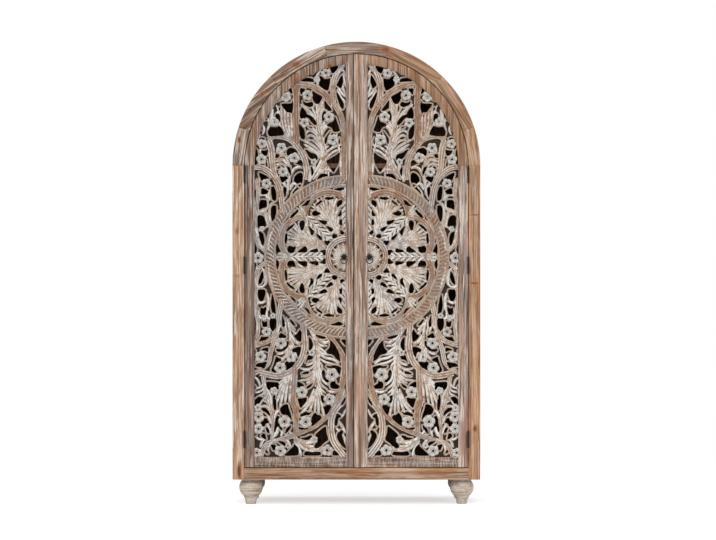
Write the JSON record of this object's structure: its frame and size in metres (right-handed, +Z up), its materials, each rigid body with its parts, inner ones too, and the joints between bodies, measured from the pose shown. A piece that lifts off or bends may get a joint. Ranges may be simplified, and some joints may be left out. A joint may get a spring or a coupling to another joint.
{
  "type": "carved arched cabinet",
  "caption": "Tall wooden cabinet with an arched top, inset doors with pierced carved panels, shelves inside, ring pulls and turned feet.",
  "frame": {"origin": "middle of the object's footprint on the floor: half-way between the sides, and half-way between the back and the front of the ring pulls", "axes": "+Z up; +X to the right seen from the front; the doors face -Y"},
  "size_m": [1.016, 0.4406, 1.9],
  "materials": {
    "wood_frame": "weathered, limed wash",
    "wood_door": "weathered, limed wash",
    "wood_bead": "weathered, limed wash",
    "wood_carving": "limed, pale in the grooves",
    "wood_carcase": "weathered, dull",
    "wood_feet": "limed, chalky",
    "black_iron": "blackened",
    "steel": "plain",
    "catch_plastic": "matt"
  },
  "bodies": {
    "cabinet": {"back_boards": "wood_carcase", "bottom_board": "wood_carcase", "corner_blocks": "wood_carcase", "feet_front": "wood_feet", "feet_rear": "wood_feet", "foot_bolts": "steel", "frame_arch_segment_1": "wood_frame", "frame_arch_segment_2": "wood_frame", "frame_arch_segment_3": "wood_frame", "frame_arch_segment_4": "wood_frame", "frame_arch_segment_5": "wood_frame", "frame_arch_segment_6": "wood_frame", "frame_arch_segment_7": "wood_frame", "frame_bottom_rail": "wood_frame", "frame_stile_left": "wood_frame", "frame_stile_right": "wood_frame", "hinge_frame_leaves_left": "black_iron", "hinge_frame_leaves_right": "black_iron", "magnet_catches": "catch_plastic", "rear_rail": "wood_carcase", "roof_staves": "wood_carcase", "shelf_cleats": "wood_carcase", "shelf_lower": "wood_carcase", "shelf_middle": "wood_carcase", "shelf_upper": "wood_carcase", "side_panel_left": "wood_carcase", "side_panel_right": "wood_carcase"},
    "left_door": {"arch_rail_inner_left": "wood_door", "arch_rail_outer_left": "wood_door", "carved_panel_left": "wood_carving", "door_bottom_rail_left": "wood_door", "hinge_door_leaves_left": "black_iron", "hinge_stile_left": "wood_door", "meeting_stile_left": "wood_door", "panel_bead_left": "wood_carving", "pull_plate_left": "black_iron", "strike_plate_left": "steel"},
    "right_door": {"arch_rail_inner_right": "wood_door", "arch_rail_outer_right": "wood_door", "carved_panel_right": "wood_carving", "door_bottom_rail_right": "wood_door", "hinge_door_leaves_right": "black_iron", "hinge_stile_right": "wood_door", "meeting_bead": "wood_bead", "meeting_stile_right": "wood_door", "panel_bead_right": "wood_carving", "pull_plate_right": "black_iron", "strike_plate_right": "steel"},
    "left_ring": {"pull_ring_left": "black_iron"},
    "right_ring": {"pull_ring_right": "black_iron"}
  },
  "joints": [
    {"name": "left_door_hinge", "type": "hinge", "parent": "cabinet", "child": "left_door", "pos_m": [-0.4585, -0.2137, 0.984], "axis": [0, 0, -1], "range_deg": [0, 170]},
    {"name": "right_door_hinge", "type": "hinge", "parent": "cabinet", "child": "right_door", "pos_m": [0.4585, -0.2137, 0.984], "axis": [0, 0, 1], "range_deg": [0, 170]},
    {"name": "left_ring_swing", "type": "hinge", "parent": "left_door", "child": "left_ring", "pos_m": [-0.051, -0.2161, 1.018], "axis": [-1, 0, 0], "range_deg": [0, 110]},
    {"name": "right_ring_swing", "type": "hinge", "parent": "right_door", "child": "right_ring", "pos_m": [0.054, -0.2161, 1.018], "axis": [-1, 0, 0], "range_deg": [0, 110]}
  ]
}
